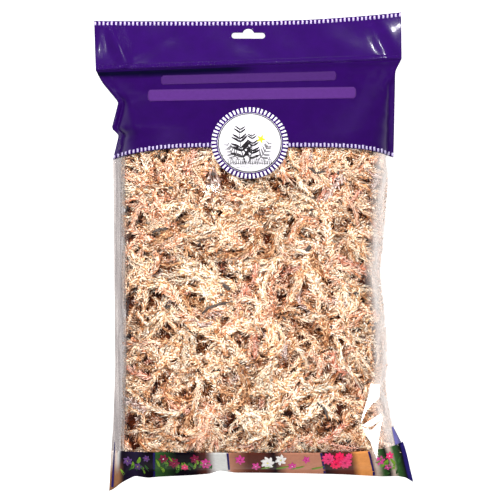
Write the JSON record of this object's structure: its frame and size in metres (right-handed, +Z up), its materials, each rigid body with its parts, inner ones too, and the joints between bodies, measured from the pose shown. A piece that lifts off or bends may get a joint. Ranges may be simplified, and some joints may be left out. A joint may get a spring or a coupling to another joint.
{
  "type": "bagged sphagnum moss clump",
  "caption": "Clump of dried long-fibred sphagnum moss in a clear pillow bag with a printed header and a hang slot, lying on its back.",
  "frame": {"origin": "the flat patch of the back film that the bag lies on, on the bag's centre line", "axes": "+X across the bag, +Y from the bottom weld towards the header, +Z up from the surface it lies on"},
  "size_m": [0.3006, 0.4536, 0.0635],
  "materials": {
    "clear_film": "clear glossy film, softly creased",
    "printed_film": "deep purple print on glossy film",
    "moss_straw": "dry fibrous moss, straw to cream",
    "moss_rose": "dry fibrous moss, straw to rose brown"
  },
  "bodies": {
    "root": {"front_film": "clear_film", "back_film": "clear_film", "header": "printed_film", "moss_tuft_row1_col1": "moss_straw", "moss_tuft_row1_col2": "moss_rose", "moss_tuft_row1_col3": "moss_straw", "moss_tuft_row2_col1": "moss_rose", "moss_tuft_row2_col2": "moss_straw", "moss_tuft_row2_col3": "moss_straw", "moss_tuft_row3_col1": "moss_straw", "moss_tuft_row3_col2": "moss_straw", "moss_tuft_row3_col3": "moss_rose", "moss_tuft_row4_col1": "moss_straw", "moss_tuft_row4_col2": "moss_rose", "moss_tuft_row4_col3": "moss_straw"}
  },
  "joints": []
}
